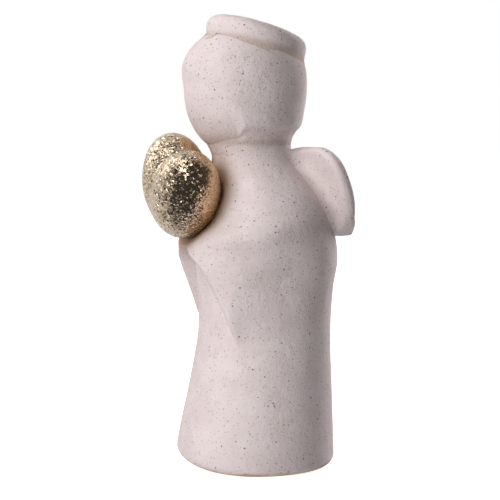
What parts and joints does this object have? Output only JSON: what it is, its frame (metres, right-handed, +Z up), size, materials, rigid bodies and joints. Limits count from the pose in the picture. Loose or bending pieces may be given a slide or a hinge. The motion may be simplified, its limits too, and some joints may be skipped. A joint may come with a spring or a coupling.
{
  "type": "angel figurine",
  "caption": "Standing angel in a smooth flared robe with hanging sleeves, short wings and a ring halo, holding a puffy gilt heart at its chest.",
  "frame": {"origin": "middle of the foot, on the surface that the figurine stands on", "axes": "+Z up, -Y the way the figure faces, +X towards the figure's own left hand"},
  "size_m": [0.0548, 0.058, 0.13],
  "materials": {
    "speckled_body": "matte warm off-white cast body with a fine sandy grain and sparse dark specks",
    "gilt": "rough gilt lustre, pale gold, finely pitted and sparkling",
    "dowel": "plain beech dowel, bonded in",
    "cork": "thin pressed cork"
  },
  "bodies": {
    "root": {"robe_body": "speckled_body", "left_sleeve": "speckled_body", "right_sleeve": "speckled_body", "head": "speckled_body", "hair": "speckled_body", "halo": "speckled_body", "left_wing": "speckled_body", "right_wing": "speckled_body", "heart": "gilt", "neck_dowel": "dowel", "wing_dowels": "dowel", "heart_dowel": "dowel", "base_plug": "speckled_body", "foot_pad": "cork"}
  },
  "joints": []
}
